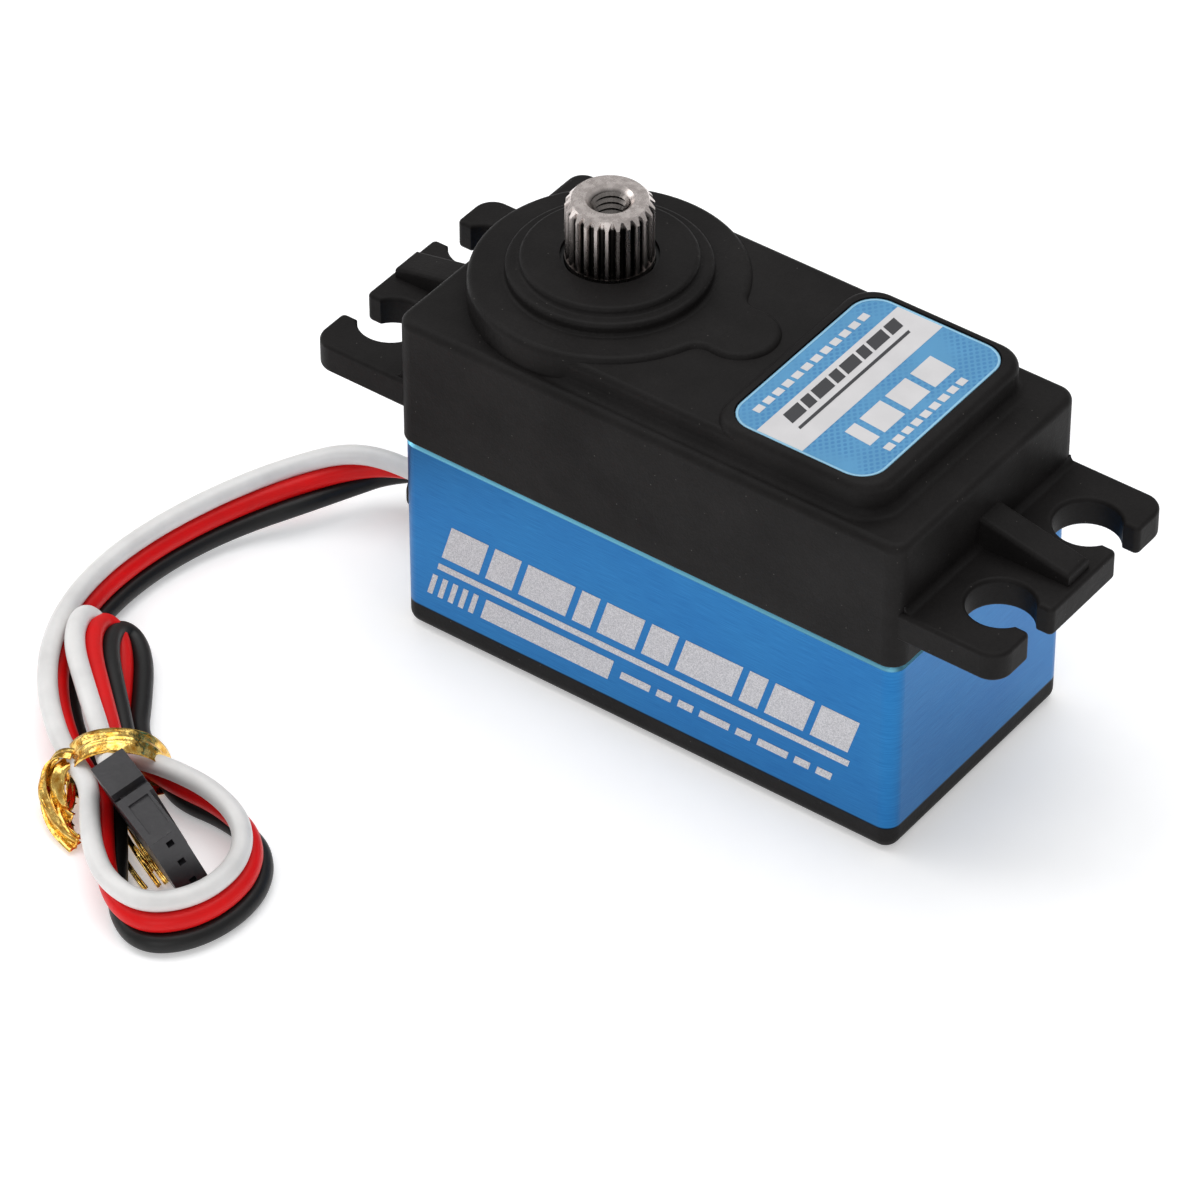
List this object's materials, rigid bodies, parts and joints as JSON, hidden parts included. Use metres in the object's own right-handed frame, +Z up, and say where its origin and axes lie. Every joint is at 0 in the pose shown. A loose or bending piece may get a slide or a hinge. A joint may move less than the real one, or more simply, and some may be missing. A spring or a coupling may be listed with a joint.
{
  "type": "servo motor",
  "caption": "Low-profile rectangular servo motor with a metal middle case, open-ended mounting ears, a splined output shaft and a tied three-wire lead with plug.",
  "frame": {"origin": "centre of the case's bottom face, on the surface it stands on", "axes": "+X along the case towards the label end, +Y across the case, +Z up along the output shaft"},
  "size_m": [0.0656, 0.0566, 0.0342],
  "materials": {
    "black_plastic": "satin, fine moulded texture",
    "blue_aluminium": "brushed and anodised",
    "label_film": "satin printed film",
    "gear_steel": "machined",
    "bright_steel": "ground",
    "motor_steel": "plated",
    "screw_steel": "black oxide",
    "gear_brass": "machined",
    "contact_brass": "plated",
    "winding_copper": "enamelled wire",
    "capacitor_can": "satin",
    "board_green": "solder mask",
    "chip_black": "matte",
    "pot_plastic": "matte",
    "seal_rubber": "matte",
    "boot_rubber": "matte",
    "white_wire": "gloss",
    "red_wire": "gloss",
    "black_wire": "gloss",
    "gold_foil": "crumpled foil"
  },
  "bodies": {
    "case": {"bottom_cover": "black_plastic", "middle_case": "blue_aluminium", "top_case": "black_plastic", "lower_gasket": "seal_rubber", "upper_gasket": "seal_rubber", "output_seal": "seal_rubber", "case_screws": "screw_steel", "label": "label_film", "centre_gear_shaft": "bright_steel", "second_gear_shaft": "bright_steel", "upper_bearing_outer_ring": "bright_steel", "upper_bearing_balls": "bright_steel", "lower_bearing_outer_ring": "bright_steel", "lower_bearing_balls": "bright_steel", "motor_can": "motor_steel", "motor_end_cap": "black_plastic", "motor_stator": "winding_copper", "motor_terminals": "contact_brass", "potentiometer_body": "pot_plastic", "control_board": "board_green", "board_chips": "chip_black", "board_capacitor": "capacitor_can", "cable_grommet": "boot_rubber", "signal_wire": "white_wire", "power_wire": "red_wire", "ground_wire": "black_wire", "wire_hank": "black_wire", "twist_tie": "gold_foil", "plug_housing": "black_plastic", "plug_contacts": "contact_brass"},
    "output": {"output_gear": "gear_steel", "upper_bearing_inner_ring": "bright_steel", "lower_bearing_inner_ring": "bright_steel", "potentiometer_shaft": "contact_brass"},
    "third": {"third_gear": "gear_steel"},
    "second": {"second_gear": "gear_brass"},
    "first": {"first_gear": "gear_brass"},
    "rotor": {"motor_pinion": "gear_brass", "motor_shaft": "bright_steel", "motor_magnet": "motor_steel"}
  },
  "joints": [
    {"name": "output_spin", "type": "hinge", "parent": "case", "child": "output", "pos_m": [-0.0101, 0, 0], "axis": [0, 0, 1], "range_deg": [-90, 90]},
    {"name": "third_spin", "type": "hinge", "parent": "case", "child": "third", "pos_m": [0.0004, 0, 0], "axis": [0, 0, 1], "range_deg": [-226, 226]},
    {"name": "second_spin", "type": "hinge", "parent": "case", "child": "second", "pos_m": [0.00764, 0.0023, 0], "axis": [0, 0, 1], "range_deg": [-631, 631]},
    {"name": "first_spin", "type": "hinge", "parent": "case", "child": "first", "pos_m": [0.0004, 0, 0], "axis": [0, 0, 1], "range_deg": [-1765, 1765]},
    {"name": "rotor_spin", "type": "hinge", "parent": "case", "child": "rotor", "pos_m": [0.00812, -0.00109, 0], "axis": [0, 0, 1], "range_deg": [-5881, 5881]}
  ],
  "couplings": [
    {"joint": "third_spin", "follows": "output_spin", "ratio": -2.5},
    {"joint": "second_spin", "follows": "output_spin", "ratio": 7},
    {"joint": "first_spin", "follows": "output_spin", "ratio": -19.6},
    {"joint": "rotor_spin", "follows": "output_spin", "ratio": 65.333}
  ]
}
